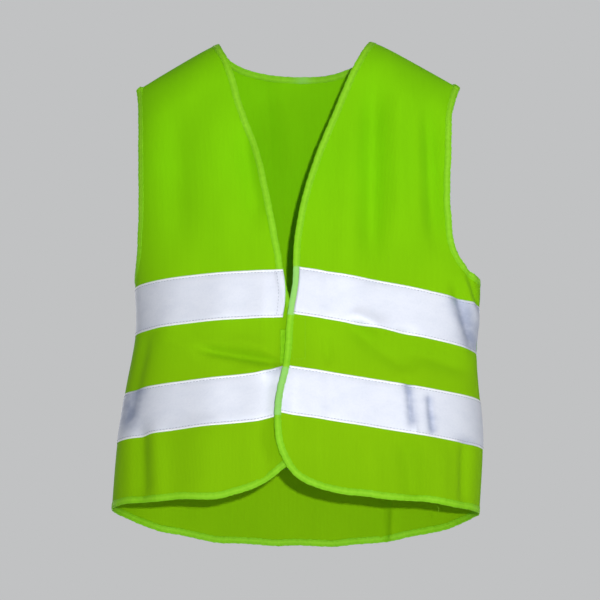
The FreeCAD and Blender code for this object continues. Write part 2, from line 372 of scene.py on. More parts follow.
def back_chain(points, count):
    chain = on_cloth(BACK, spline(points, 500))
    if points is BACK_NECK:
        chain[[0, -1], 1] = BACK.seam_height(chain[[0, -1], 0])
    else:
        chain[[0, -1], 0] = [-pi / 2, pi / 2]
    return even(BACK, chain, count)


def edge_x(edge_points, z):
    """X of a front edge at a height, above its rounded corner."""
    edge = spline(edge_points, 900)
    upper = edge[:int(np.argmax(edge[:, 1] < -430 * MM))]
    return np.interp(-z, -upper[:, 1], upper[:, 0])


def coons(top, bottom, left, right):
    """Grid of (angle, z) inside four chains; rows run down from top to bottom."""
    rows, columns = len(left), len(top)
    u = np.linspace(0, 1, columns)[None, :, None]
    v = np.linspace(0, 1, rows)[:, None, None]
    sides = (1 - u) * left[:, None] + u * right[:, None]
    above = top[None] - (1 - u) * top[0] - u * top[-1]
    below = bottom[None] - (1 - u) * bottom[0] - u * bottom[-1]
    return sides + (1 - v) ** 3 * above + v ** 3 * below


# ---- Mesh builders ----
def make_object(name, verts, faces, uvs=None):
    mesh = bpy.data.meshes.new(name)
    mesh.from_pydata(np.asarray(verts).tolist(), [], [tuple(int(i) for i in f) for f in faces])
    mesh.validate()
    if uvs is not None:
        layer = mesh.uv_layers.new(name="cloth")
        index = np.zeros(len(mesh.loops), np.int32)
        mesh.loops.foreach_get("vertex_index", index)
        layer.data.foreach_set("uv", np.asarray(uvs, np.float32)[index].ravel())
    mesh.polygons.foreach_set("use_smooth", np.ones(len(mesh.polygons), bool))
    obj = bpy.data.objects.new(name, mesh)
    bpy.context.scene.collection.objects.link(obj)
    bm = bmesh.new()
    bm.from_mesh(mesh)
    bmesh.ops.recalc_face_normals(bm, faces=bm.faces)
    bm.to_mesh(mesh)
    bm.free()
    return obj


def grid_faces(rows, columns, start=0, flip=False, wrap=False):
    faces = []
    last = columns if wrap else columns - 1
    for r in range(rows - 1):
        for c in range(last):
            a = start + r * columns + c
            b = start + r * columns + (c + 1) % columns
            quad = (a, b, b + columns, a + columns)
            faces.append(quad[::-1] if flip else quad)
    return faces


def slab(name, outer, inner, uv):
    """Closed thin piece between two grids of points, rows by columns."""
    rows, columns = outer.shape[:2]
    count = rows * columns
    verts = np.vstack([outer.reshape(-1, 3), inner.reshape(-1, 3)])
    faces = grid_faces(rows, columns) + grid_faces(rows, columns, count, flip=True)
    rim = ([(0, c) for c in range(columns)] + [(r, columns - 1) for r in range(1, rows)]
           + [(rows - 1, c) for c in range(columns - 2, -1, -1)] + [(r, 0) for r in range(rows - 2, 0, -1)])
    loop = [r * columns + c for r, c in rim]
    for a, b in zip(loop, loop[1:] + loop[:1]):
        faces.append((b, a, a + count, b + count))
    return make_object(name, verts, faces, np.vstack([uv.reshape(-1, 2)] * 2))


def tube(name, rings, uv_rings, closed=False):
    """Closed bar through a row of rings of points; open ends are capped."""
    count, sides = rings.shape[:2]
    faces = grid_faces(count, sides, wrap=True)
    last = (count - 1) * sides
    if closed:
        faces += [(last + c, last + (c + 1) % sides, (c + 1) % sides, c) for c in range(sides)]
    else:
        faces.append(tuple(range(sides))[::-1])
        faces.append(tuple(last + c for c in range(sides)))
    return make_object(name, rings.reshape(-1, 3), faces, uv_rings.reshape(-1, 2))


ANY_DIRECTION = [0.31, 0.52, 0.79]     # along no thread


def strands(name, lines):
    """One object of many short round threads. Each line is (points, radii) of one thread."""
    sides = 6
    turn = np.linspace(0, 2 * pi, sides, endpoint=False)
    verts, faces, uvs, start = [], [], [], 0
    for points, radii in lines:
        t = unit(np.gradient(points, axis=0))
        side = unit(np.cross(t, ANY_DIRECTION))
        up = np.cross(t, side)
        ring = side[:, None] * np.cos(turn)[None, :, None] + up[:, None] * np.sin(turn)[None, :, None]
        verts.append((points[:, None] + ring * radii[:, None, None]).reshape(-1, 3))
        uvs.append(pair(lengths(points)[:, None], turn[None] * 0.0002).reshape(-1, 2))
        faces += grid_faces(len(points), sides, start, wrap=True)
        last = start + (len(points) - 1) * sides
        faces.append(tuple(range(start, start + sides))[::-1])
        faces.append(tuple(range(last, last + sides)))
        start += len(points) * sides
    return make_object(name, np.vstack(verts), faces, np.vstack(uvs))


STITCH_HUMP = np.array([-0.30, -0.02, 0.10, 0.12, 0.10, -0.02, -0.30]) * MM
STITCH_RADII = np.array([0.09, 0.15, 0.18, 0.18, 0.18, 0.15, 0.09]) * MM


def stitch_row(points, normals, pitch=3.0 * MM, share=0.74, seed=0):
    """Threads of one row of stitches along a line, each dipping into the cloth at its ends."""
    rng = np.random.default_rng(seed)
    along = lengths(points)
    count = max(int(round(along[-1] / pitch)), 1)
    lines = []
    for index in range(count):
        middle = (index + 0.5) * along[-1] / count + rng.uniform(-0.03, 0.03) * pitch
        reach = pitch * share * rng.uniform(0.94, 1.04) / 2
        at = np.linspace(middle - reach, middle + reach, len(STITCH_HUMP))
        path = pick(at, along, points) + pick(at, along, normals) * STITCH_HUMP[:, None]
        lines.append((path, STITCH_RADII))
    return lines


ARC_ANGLES = np.linspace(-pi / 2, pi / 2, 400)
ARC_LENGTHS = lengths(BACK.base(ARC_ANGLES, np.full(400, -0.33)))


def cloth_uv(angle, z):
    """Position on the flat cloth in metres: distance round the body and height."""
    angle, z = np.broadcast_arrays(angle, z)
    return np.stack([np.interp(angle, ARC_ANGLES, ARC_LENGTHS), z], -1)


# ---- Panels ----
KNIT = 0.45 * MM


def cut_panel(name, cloth, grid):
    angle, z = grid[..., 0], grid[..., 1]
    return slab(name, cloth.point(angle, z, KNIT / 2), cloth.point(angle, z, -KNIT / 2), cloth_uv(angle, z))


def front_grid(cloth, edge_points, armhole, side, corner):
    """Grid of a front: the front edge on one side, the armhole and side seam on the other."""
    edge = spline(edge_points, 600)
    split = int(np.argmin(np.linalg.norm(edge - np.array(corner) * MM, axis=1)))
    rows, columns = 230, 140
    inner = even(cloth, from_seam(cloth, on_cloth(cloth, edge[:split + 1])), rows)
    hem = on_cloth(cloth, edge[split:])
    hem[-1, 0] = side * pi / 2
    outer = even(cloth, side_chain(cloth, armhole, side, hem[-1, 1]), rows)
    hem = even(cloth, hem, columns)
    shoulder = seam_chain(cloth, inner[0, 0], outer[0, 0], columns)
    if side > 0:
        return coons(shoulder, hem, inner, outer)
    return coons(shoulder[::-1], hem[::-1], outer, inner)


def back_grid():
    rows, columns = 210, 250
    neck, hem = back_chain(BACK_NECK, 200), back_chain(BACK_HEM, columns)
    right = even(BACK, side_chain(BACK, UNDER_ARMHOLE, -1, hem[0, 1]), rows)
    left = even(BACK, side_chain(BACK, OVER_ARMHOLE, 1, hem[-1, 1]), rows)
    top = np.vstack([seam_chain(BACK, right[0, 0], neck[0, 0], 60)[:-1], neck,
                     seam_chain(BACK, neck[-1, 0], left[0, 0], 60)[1:]])
    return coons(even(BACK, top, columns), hem, right, left)


# Where each front edge turns from its long run into the hem, in millimetres.
UNDER_CORNER, OVER_CORNER = (0, -447), (-9, -457)
under_grid = front_grid(UNDER, UNDER_EDGE, UNDER_ARMHOLE, -1, UNDER_CORNER)
over_grid = front_grid(OVER, OVER_EDGE, OVER_ARMHOLE, 1, OVER_CORNER)
under_panel = cut_panel("under_front_cloth", UNDER, under_grid)
over_panel = cut_panel("over_front_cloth", OVER, over_grid)
back_panel = cut_panel("back_cloth", BACK, back_grid())

# ---- Bound edges ----
# Section of the folded binding: (distance in from the fold, height above the middle of the cloth).
BINDING_SIDE = [(-0.36, 0.36), (0.2, 0.62), (1.4, 0.74), (3.2, 0.78), (4.6, 0.7), (5.3, 0.52), (5.9, 0.62),
                (6.4, 0.6), (6.55, 0.3)]
BINDING_SECTION = [(-0.5, 0.0)] + BINDING_SIDE + [(inwards, -up) for inwards, up in BINDING_SIDE[::-1]]
STITCH_IN = 5.3 * MM
STITCH_HIGH = 0.5 * MM


def line_on(cloth, chain, offset=0.0):
    """Points along a chain, offset outwards from the cloth, and its outward normals there."""
    angle, z = chain[:, 0], chain[:, 1]
    return cloth.point(angle, z, offset), cloth.normal(cloth.folded, angle, z)


SEAM_CLEAR = 2.2 * MM
FRAME_STEP = 0.9 * MM


def closed_loop(parts, turn):
    """Evenly spaced points of a closed edge made of lines on the cloth, with their outward normals and the
    directions into the cloth, and the index at which each line starts. The lines are bridged at the seams."""
    clear = [(p[np.abs(p[:, 1]) > SEAM_CLEAR], n[np.abs(p[:, 1]) > SEAM_CLEAR]) for p, n in parts]
    p = np.vstack([part[0] for part in clear] + [clear[0][0][:1]])
    n = np.vstack([part[1] for part in clear] + [clear[0][1][:1]])
    along = lengths(p)
    starts = along[np.cumsum([0] + [len(part[0]) for part in clear[:-1]])]
    at = np.linspace(0, along[-1], int(along[-1] / FRAME_STEP), endpoint=False)
    p, n = pick(at, along, p), pick(at, along, n)
    p = (np.roll(p, 1, 0) + 2 * p + np.roll(p, -1, 0)) / 4
    n = unit(sum(np.roll(n, shift, 0) for shift in range(-3, 4)))
    t = np.roll(p, -2, 0) - np.roll(p, 2, 0)
    return p, n, unit(np.cross(n, t) * turn), np.searchsorted(at, starts)


def bind(name, p, n, b, seed, closed=False, swell=None, pale=None):
    """Folded binding along an edge, with the slight unevenness that its stitching pulls into it."""
    rng = np.random.default_rng(seed)
    along = lengths(p)
    wave = np.zeros(len(p))
    for pitch in (5.2 * MM, 8.7 * MM, 14.3 * MM, 31 * MM):
        wave += rng.uniform(0.5, 1.0) * np.sin(2 * pi * along / pitch + rng.uniform(0, 2 * pi))
    section = np.array(BINDING_SECTION) * MM
    width = 1 + 0.018 * wave
    height = 1 + 0.07 * wave
    shift = 0.12 * MM * np.roll(wave, 7)
    if swell is not None:
        height = height + 1.6 * swell
        width = width + 0.25 * swell
        shift = shift - 1.6 * MM * swell
    a = section[None, :, 0] * width[:, None] + shift[:, None]
    h = section[None, :, 1] * height[:, None]
    rings = p[:, None] + b[:, None] * a[..., None] + n[:, None] * h[..., None]
    obj = tube(name, rings, pair(along[:, None], lengths(section)[None]), closed)
    tint = obj.data.attributes.new("pale", "FLOAT", "POINT")
    values = np.zeros(len(p)) if pale is None else pale
    tint.data.foreach_set("value", np.repeat(values, len(section)).astype(np.float32))
    return obj


def binding_stitches(p, n, b, seed):
    """The seam that holds a binding, seen on both sides of it."""
    lines = []
    for face in (1, -1):
        row = p + b * STITCH_IN + n * (face * STITCH_HIGH)
        lines += stitch_row(row, n * face, seed=seed)
    return lines


under_line = line_on(UNDER, front_edge_chain(UNDER, UNDER_EDGE, -1, 900))
over_line = line_on(OVER, front_edge_chain(OVER, OVER_EDGE, 1, 900)[::-1])
hem_line = line_on(BACK, back_chain(BACK_HEM, 560)[1:-1])
neck_line = line_on(BACK, back_chain(BACK_NECK, 260)[::-1][1:-1])
edge_p, edge_n, edge_b, marks = closed_loop([under_line, hem_line, over_line, neck_line], -1)
edge_parts = {}
edge_names = ("under_front", "back_hem", "over_front", "back_neck")
for name, first, last in zip(edge_names, marks, [*marks[1:], len(edge_p)]):
    index = np.arange(first, last + 1) % len(edge_p)
    edge_parts[name] = (edge_p[index], edge_n[index], edge_b[index])


def over_tapes(p, tapes):
    """1 where a binding lies over the end of a tape, and 0 elsewhere."""
    cover = 0
    for _, at_middle in tapes.values():
        cover = cover + smoothstep((25.5 * MM - np.abs(p[:, 2] - at_middle * MM)) / MM)
    return cover


def neck_join(p):
    """Where the two ends of the neck binding overlap, behind the neck."""
    return bump(p[:, 0], 6 * MM, 8 * MM)


under_binding = bind("under_front_bound_edge", *edge_parts["under_front"], 1)
over_binding = bind("over_front_bound_edge", *edge_parts["over_front"], 2,
                    pale=over_tapes(edge_parts["over_front"][0], OVER_TAPES))
joined = neck_join(edge_parts["back_neck"][0])
neck_binding = bind("back_neck_bound_edge", *edge_parts["back_neck"], 3,
                    swell=0.12 * joined, pale=0.5 * joined)
hem_binding = bind("back_hem_bound_edge", *edge_parts["back_hem"], 4)


def armhole_loop(front, points, side):
    """The whole armhole, down the front and up the back."""
    chains = [even(cloth, from_seam(cloth, on_cloth(cloth, spline(points, 200))), 260)
              for cloth in (front, BACK)]
    parts = [line_on(front, chains[0]), line_on(BACK, chains[1][::-1][1:-1])]
    return closed_loop(parts, side)[:3]


def shoulder_swell(p, seed):
    """The lump where the armhole binding's ends are tacked together at the shoulder seam."""
    along = lengths(p)
    around = np.minimum(along, along[-1] - along)
    rng = np.random.default_rng(seed)
    lumps = 1 + 0.35 * np.sin(around / (1.1 * MM) + rng.uniform(0, 2 * pi))
    return lumps * bump(around, 0, 5 * MM)


under_arm_line = armhole_loop(UNDER, UNDER_ARMHOLE, -1)
over_arm_line = armhole_loop(OVER, OVER_ARMHOLE, 1)
under_arm, over_arm = (
    bind(f"{name}_armhole_bound_edge", *line, seed, closed=True, swell=shoulder_swell(line[0], seed))
    for name, line, seed in (("under", under_arm_line, 5), ("over", over_arm_line, 6)))

# ---- Reflective tapes ----
TAPE = 0.3 * MM
TAPE_HALF = np.array([0, 3, 6, 9, 12, 15, 18, 21.6, 22.5, 23.2, 24.2, 25]) * MM
TAPE_ROWS = np.concatenate([-TAPE_HALF[:0:-1], TAPE_HALF])
# Height of the tape's outside above the cloth across its width: pressed down where it is stitched.
LIFT_HALF = np.array([0.8, 0.8, 0.8, 0.8, 0.8, 0.8, 0.78, 0.66, 0.5, 0.66, 0.74, 0.62]) * MM
TAPE_LIFT = np.concatenate([LIFT_HALF[:0:-1], LIFT_HALF])
TAPE_STITCH = 22.5 * MM
TAPE_PITCH = 3.4 * MM
TAPE_PRESS = 0.55 * MM
TAPE_ARCH = 2.2
SHARP = 8              # half width in millimetres below which a fold's valley gets painted shade on the tapes
OVER_BINDING = 0.66 * MM
# The under front's upper tape ends before the closure, slightly bowed, and its cut end shows.
FREE_END = ("under", "upper")
FREE_END_X = -11.8 * MM
FREE_END_BOW = 2.6 * MM


def tape_middle(front, level, x):
    """Height of a tape's centre line at an x on a front, with the ends that the closure pulls up."""
    at_side, at_middle = (UNDER_TAPES if front == "under" else OVER_TAPES)[level]
    side = -1 if front == "under" else 1
    reach = float(BACK.half_width(np.array(side * pi / 2), np.array(at_side * MM)))
    share = np.clip(x * side / reach, -0.2, 1)
    z = at_middle + (at_side - at_middle) * share
    if front == "under":
        z = z + TAPE_ARCH * np.sin(pi * np.clip(share, 0, 1)) * (1 if level == "upper" else 0.3)
        if level == "lower":
            z = z + 7.0 * smoothstep((x + 46 * MM) / (50 * MM))
    else:
        z = z + (0.8 if level == "upper" else -0.8) * np.sin(pi * np.clip(share, 0, 1))
    return z * MM


def tape_grid(front, cloth, level, side, edge_points, columns=190):
    """(angle, z) grid of a front tape, from under the edge binding to the side seam."""
    start_x = np.zeros(len(TAPE_ROWS))
    for _ in range(6):
        start_x = edge_x(edge_points, tape_middle(front, level, start_x) + TAPE_ROWS) + side * 5.6 * MM
    if (front, level) == FREE_END:
        start_x = FREE_END_X - FREE_END_BOW * (TAPE_ROWS / TAPE_ROWS[-1]) ** 2
    start = cloth.angle_at(start_x, tape_middle(front, level, start_x) + TAPE_ROWS)
    share = np.linspace(0, 1, columns)
    angle = start[:, None] * (1 - share) + side * pi / 2 * share
    z = np.full(angle.shape, -0.3)
    for _ in range(5):
        x = cloth.x(angle, z)
        z = tape_middle(front, level, x) + TAPE_ROWS[:, None]
    return angle, z


def back_tape_grid(level, columns=300):
    right, left = UNDER_TAPES[level][0] * MM, OVER_TAPES[level][0] * MM
    middle = (right + left) / 2 - BACK_TAPE_DIPS[level] * MM
    angle = np.broadcast_to(np.linspace(-pi / 2, pi / 2, columns), (len(TAPE_ROWS), columns))
    ends = np.where(angle < 0, right, left)
    z = middle + (ends - middle) * BACK.spread(angle) ** 2 + TAPE_ROWS[:, None]
    return angle, z


def painted_fold_shade(cloth, angle, z):
    """1 along the bottoms of the sharp folds of the cloth, where a tape gets painted shade in grey-blue."""
    x = cloth.x(angle, z)
    total = 0 * x
    for start, end, width, depth in cloth.table:
        if depth < 0 and width < SHARP:
            total = total + fold(x, z, start, end, width * 1.7, 1 / MM, 0.2)
    return np.clip(total, 0, 1)


def over_binding_lift(cloth, angle, z):
    """How far a tape is raised where its free end lies over the edge binding."""
    x = cloth.x(angle, z)
    if cloth is not UNDER:
        return 0 * x
    return OVER_BINDING * smoothstep((x + 9 * MM - edge_x(UNDER_EDGE, z)) / (2 * MM))


def lay_tape(name, cloth, angle, z):
    uv = pair(cloth_uv(angle, z)[..., 0], TAPE_ROWS[:, None])
    lift = TAPE_LIFT[:, None] + over_binding_lift(cloth, angle, z)
    tape = slab(name, cloth.point(angle, z, lift), cloth.point(angle, z, lift - TAPE), uv)
    painted_crease_shade = tape.data.attributes.new("painted_crease_shade", "FLOAT", "POINT")
    painted_crease_shade.data.foreach_set("value", np.tile(painted_fold_shade(cloth, angle, z).ravel(), 2).astype(np.float32))
    return tape


def across_rows(grid, height):
    """The chain of a tape's grid at a height across its width."""
    share = np.interp(height, TAPE_ROWS, np.arange(len(TAPE_ROWS)))
    low = int(share)
    high = min(low + 1, len(TAPE_ROWS) - 1)
    return np.stack([g[low] + (g[high] - g[low]) * (share - low) for g in grid], 1)


def tape_stitches(cloth, grid, seed, end=None):
    """Rows along both edges of a tape, outside and inside the vest, and across its end if it shows."""
    lines = []
    for height in (-TAPE_STITCH, TAPE_STITCH):
        chain = across_rows(grid, height)
        raised = TAPE_PRESS + over_binding_lift(cloth, chain[:, 0], chain[:, 1])
        for face, high in ((1, raised), (-1, KNIT / 2)):
            points, normals = line_on(cloth, chain, face * high)
            lines += stitch_row(points, normals * face, pitch=TAPE_PITCH, seed=seed)
    if end is not None:
        inside = slice(3, len(TAPE_ROWS) - 3)
        chain = np.stack([grid[0][inside, end], grid[1][inside, end]], 1)
        raised = over_binding_lift(cloth, chain[:, 0], chain[:, 1]) + LIFT_HALF[0] - 0.05 * MM
        lines += stitch_row(*line_on(cloth, chain, raised), pitch=TAPE_PITCH, seed=seed)
    return lines


tapes = {"under": [], "over": [], "back": []}
tape_threads = {"under": [], "over": [], "back": []}
for front, cloth, side, edge in (("under", UNDER, -1, UNDER_EDGE), ("over", OVER, 1, OVER_EDGE)):
    for number, level in enumerate(("upper", "lower")):
        grid = tape_grid(front, cloth, level, side, edge)
        tapes[front].append(lay_tape(f"{front}_{level}_reflector", cloth, *grid))
        end = 4 if (front, level) == FREE_END else None
        tape_threads[front] += tape_stitches(cloth, grid, 30 + number, end)
for number, level in enumerate(("upper", "lower")):
    grid = back_tape_grid(level)
    tapes["back"].append(lay_tape(f"back_{level}_reflector", BACK, *grid))
    tape_threads["back"] += tape_stitches(BACK, grid, 40 + number)


# ---- Closure: hooks inside the over front, loops outside the under front ----
PAD_SEWN_IN = 1.8      # millimetres from the edge of a pad to its stitching


def rectangle(centre, size, inset):
    """Corner points in metres of a rectangle on the cloth, going round and closed."""
    (x, z), (wide, high) = centre, size
    half_w, half_h = (wide / 2 - inset) * MM, (high / 2 - inset) * MM
    corners = [(-half_w, -half_h), (half_w, -half_h), (half_w, half_h), (-half_w, half_h), (-half_w, -half_h)]
    return np.array(corners) + np.array([x, z]) * MM


def patch(name, cloth, centre, size, face, thickness, step=0.8):
    """Sewn pad that follows the cloth, on its outside (face 1) or inside (face -1)."""
    (x, z), (wide, high) = centre, size
    columns, rows = int(wide / step) + 1, int(high / step) + 1
    across = np.linspace(-wide / 2, wide / 2, columns)
    down = np.linspace(high / 2, -high / 2, rows)
    xs = (x + across)[None, :] * MM + np.zeros((rows, 1))
    zs = (z + down)[:, None] * MM + np.zeros((1, columns))
    angle = cloth.angle_at(xs, zs)
    edge = np.minimum(wide / 2 - np.abs(across)[None, :], high / 2 - np.abs(down)[:, None])
    rise = thickness * (0.45 + 0.55 * smoothstep(edge / 0.8))
    rise = rise - 0.28 * thickness * bump(edge, PAD_SEWN_IN, 0.45)
    near = KNIT / 2 + 0.03 * MM
    outer = cloth.point(angle, zs, face * (near + rise * MM))
    inner = cloth.point(angle, zs, face * near + 0 * rise)
    return slab(name, outer, inner, np.stack([xs, zs], -1))


def curls(cloth, centre, size, face, base, seed, pitch, height, shape):
    """A field of small nylon hooks or loops standing on a patch."""
    rng = np.random.default_rng(seed)
    (x, z), (wide, high) = centre, size
    lines = []
    for xs in np.arange(-wide / 2 + 3, wide / 2 - 2.6, pitch):
        for zs in np.arange(-high / 2 + 3, high / 2 - 2.6, pitch):
            px = (x + xs + rng.uniform(-0.15, 0.15) * pitch) * MM
            pz = (z + zs + rng.uniform(-0.15, 0.15) * pitch) * MM
            angle = cloth.angle_at(np.array(px), np.array(pz))
            root = cloth.point(angle, pz, face * base)
            up = cloth.normal(cloth.folded, angle, np.array(pz)) * face
            turn = rng.uniform(0, 2 * pi) if shape == "loop" else pi / 2 + rng.uniform(-0.15, 0.15)
            lean = np.array([np.cos(turn), 0, np.sin(turn)])
            tall = height * rng.uniform(0.85, 1.1)
            arc = np.linspace(0, pi * (1.0 if shape == "loop" else 0.9), 6)
            points = (root + np.outer(np.sin(arc) * tall * 1.1, up)
                      + np.outer((1 - np.cos(arc)) * 0.32 * tall, lean))
            if shape == "hook":
                points = np.vstack([root, root + up * tall * 0.5, points[2:]])
            lines.append((points, np.full(len(points), 0.09 * MM)))
    return lines


def rectangle_stitches(cloth, centre, size, offset, seed):
    chain = on_cloth(cloth, resample(rectangle(centre, size, PAD_SEWN_IN), 160))
    points, normals = line_on(cloth, chain, offset)
    return stitch_row(points, normals * np.sign(offset), pitch=2.6 * MM, seed=seed)


PAD = 0.9
hook_pad = patch("hook_pad", OVER, HOOK_CENTRE, HOOK_SIZE, -1, PAD)
loop_pad = patch("loop_pad", UNDER, LOOP_CENTRE, LOOP_SIZE, 1, PAD)
pad_face = KNIT / 2 + PAD * MM
hook_lines = curls(OVER, HOOK_CENTRE, HOOK_SIZE, -1, pad_face, 51, 1.15, 0.75 * MM, "hook")
loop_lines = curls(UNDER, LOOP_CENTRE, LOOP_SIZE, 1, pad_face, 52, 0.95, 0.6 * MM, "loop")
hooks = strands("hook_pad_hooks", hook_lines)
loops = strands("loop_pad_loops", loop_lines)
closure_threads = {
    "over": rectangle_stitches(OVER, HOOK_CENTRE, HOOK_SIZE, KNIT / 2 + 0.02 * MM, 53)
    + rectangle_stitches(OVER, HOOK_CENTRE, HOOK_SIZE, -(KNIT / 2 + 0.62 * MM), 54),
    "under": rectangle_stitches(UNDER, LOOP_CENTRE, LOOP_SIZE, KNIT / 2 + 0.62 * MM, 55)
    + rectangle_stitches(UNDER, LOOP_CENTRE, LOOP_SIZE, -(KNIT / 2 + 0.02 * MM), 56),
}


# ---- Seams inside the vest ----
# One stroke of the overlock: distance across the seam and above it in millimetres, and share of the slant.
ZIGZAG = [(-2.6, 0, -1), (-1.2, 0.25, -0.5), (0, 0.32, 0), (1.2, 0.25, 0.5), (2.6, 0, 1)]
ALLOWANCE_SECTION = [(-3.0, 0.0), (-2.8, 0.45), (-1.2, 0.62), (0.0, 0.66), (1.2, 0.62), (2.8, 0.45),
                     (3.0, 0.0)]


def overlock(chain, cloth):
    """Zigzag thread over the seam allowance along a seam, on the inside."""
    points, normals = line_on(cloth, chain, -0.9 * MM)
    normals = -normals
    along = lengths(points)
    t = unit(np.gradient(points, axis=0))
    aside = np.cross(normals, t)
    lines = []
    for number, at in enumerate(np.arange(2 * MM, along[-1] - 2 * MM, 1.7 * MM)):
        p, n, b, run = (pick(at, along, values) for values in (points, normals, aside, t))
        slant = 0.8 * MM * (1 if number % 2 else -1)
        path = np.array([p + (b * across + n * up) * MM + run * slant * share
                         for across, up, share in ZIGZAG])
        lines.append((path, np.full(5, 0.14 * MM)))
    return lines


def seam_allowance(name, chain, cloth):
    """The two turned-in cloth edges of a seam, pressed to one side and overlocked together."""
    path, n = line_on(cloth, chain, -KNIT)
    n = -n
    b = unit(np.cross(n, np.gradient(path, axis=0)))
    section = np.array(ALLOWANCE_SECTION) * MM
    rings = path[:, None] + b[:, None] * section[None, :, :1] + n[:, None] * section[None, :, 1:]
    return tube(name, rings, pair(lengths(path)[:, None], section[None, :, 0]))


seams, seam_threads = [], []
for name, points, side in (("right", UNDER_ARMHOLE, -1), ("left", OVER_ARMHOLE, 1)):
    hole = on_cloth(BACK, spline(points, 60))
    neck_x = (BACK_NECK[0] if side < 0 else BACK_NECK[-1])[0] * MM
    neck_angle = float(BACK.angle_at(neck_x, 0.0)) + side * 0.045
    shoulder = seam_chain(BACK, neck_angle, hole[0, 0] - side * 0.045, 90)
    shoulder[:, 1] -= 0.35 * MM
    foot = -487 * MM
    side_seam = np.stack([np.full(120, side * (pi / 2 - 0.012)),
                          np.linspace(hole[-1, 1] - 8 * MM, foot, 120)], 1)
    for part, chain in (("shoulder", shoulder), ("side", side_seam)):
        seams.append(seam_allowance(f"{name}_{part}_seam_allowance", chain, BACK))
        seam_threads += overlock(chain, BACK)


# ---- Care label: a blank folded ribbon in the side seam ----
LABEL_LENGTH, LABEL_HEIGHT, LABEL_PLY = 30 * MM, 45 * MM, 0.16 * MM
LABEL_GAP = 0.2 * MM


def ribbon(name, path, height, centre_z, curl):
    """Ribbon standing on edge along a plan path, closed to its thickness, with a slight curl."""
    rows = 24
    flat = np.stack([path[:, 0], path[:, 1], np.zeros(len(path))], 1)
    n = np.cross(unit(np.gradient(flat, axis=0)), [0, 0, 1])
    down = np.linspace(0.5, -0.5, rows)
    along = lengths(flat)
    reach = np.minimum(along, along[-1] - along) / along[-1] * 2
    wave = curl * (1.6 * down ** 2 + 0.12 * np.sin(9 * down))[:, None] * reach
    lean = n[0] * wave[..., None]
    middle = flat[None] + lean + np.array([0, 0, 1.0]) * (centre_z + down[:, None, None] * height)
    outer, inner = middle + n[None] * LABEL_PLY / 2, middle - n[None] * LABEL_PLY / 2
    return slab(name, outer, inner, pair(along[None], down[:, None] * height))


label_joint = next(j for j in frame["joints"] if j["name"] == "label_flaps")
hinge = Vector(label_joint["pos_m"])
_, label_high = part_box("care_label")
far = Vector((label_high.x, label_high.y, hinge.z))
out = (far - hinge)
out.z = 0
out.normalize()
aside = Vector((-out.y, out.x, 0))
plan = [hinge + out * s * LABEL_LENGTH + aside * LABEL_GAP for s in np.linspace(0, 0.985, 26)]
plan += [hinge + out * (LABEL_LENGTH * 0.99 + LABEL_GAP * cos(a)) - aside * LABEL_GAP * np.sin(a)
         for a in np.linspace(-pi / 2, pi / 2, 9)[1:-1]]
plan += [hinge + out * s * LABEL_LENGTH - aside * LABEL_GAP for s in np.linspace(0.985, 0, 26)]
label = ribbon("folded_care_label", np.array([(p.x, p.y) for p in plan]), LABEL_HEIGHT, hinge.z, 1.6 * MM)


def sewn_end():
    """The label's end, from its fold line to just inside the side seam at each height."""
    rows = np.linspace(0.5, -0.5, 14) * LABEL_HEIGHT + hinge.z
    inside = BACK.point(np.full(14, -pi / 2 + 0.012), rows, -1.0 * MM)
    start = np.stack([np.full(14, hinge.x), np.full(14, hinge.y), rows], 1)
    share = np.linspace(0, 1, 8)[None, :, None]
    middle = start[:, None] + (inside - start)[:, None] * share
    thick = np.array([0, LABEL_PLY, 0])
    uv = pair(share[..., 0] * 8 * MM, rows[:, None])
    return slab("care_label_sewn_end", middle - thick, middle + thick, uv)


label_tail = sewn_end()


# ---- Stitching objects ----
def thread_end(cloth, x, z, offset, drop, lean):
    """A loose end of sewing thread, a few millimetres long."""
    angle = cloth.angle_at(np.array(x * MM), np.array(z * MM))
    root = cloth.point(angle, np.array(z * MM), offset * MM)
    share = np.linspace(0, 1, 7)
    path = root + np.outer(share, [0, 0, -drop * MM])
    path = path + np.outer(np.sin(share * 2.6), [lean * MM, -0.8 * MM, 0])
    return path, np.full(7, 0.16 * MM)


def tack(p, n, b, across, rows, seed):
    """Bar tack: close stitches laid across a binding."""
    rng = np.random.default_rng(seed)
    lines = []
    t = np.cross(b, n)
    for row in range(rows):
        shift = (row - (rows - 1) / 2) * 0.55 * MM
        start = p + t * shift + b * rng.uniform(-0.6, 0.2) * MM + n * 1.9 * MM
        end = start + b * across + n * rng.uniform(-0.5, 0.3) * MM
        share = np.linspace(0, 1, 5)[:, None]
        path = start + (end - start) * share + n * np.sin(share * pi) * 0.35 * MM
        lines.append((path, np.full(5, 0.2 * MM)))
    return lines


green_threads = {
    "under": binding_stitches(*edge_parts["under_front"], 11) + closure_threads["under"],
    "over": binding_stitches(*edge_parts["over_front"], 12) + closure_threads["over"]
    + [thread_end(OVER, 140.5, -493.0, 0.9, 5.5, 1.2)],
    "back": binding_stitches(*edge_parts["back_hem"], 13) + binding_stitches(*edge_parts["back_neck"], 14)
    + binding_stitches(*under_arm_line, 15) + binding_stitches(*over_arm_line, 16)
    + [thread_end(BACK, 158.0, -498.0, -0.9, 6.5, 1.6), thread_end(BACK, 168.0, -499.0, -0.9, 3.0, -0.8)],
}
for line, seed in ((under_arm_line, 71), (over_arm_line, 72)):
    for index in (0, -2):
        p, n, b = (values[index] for values in line)
        green_threads["back"] += tack(p, n, b, 6.0 * MM, 7, seed + index)

binding_threads = {key: strands(f"{key}_edge_stitching", lines) for key, lines in green_threads.items()}
tape_stitching = {key: strands(f"{key}_tape_stitching", lines) for key, lines in tape_threads.items()}
overlocking = strands("seam_overlocking", seam_threads)


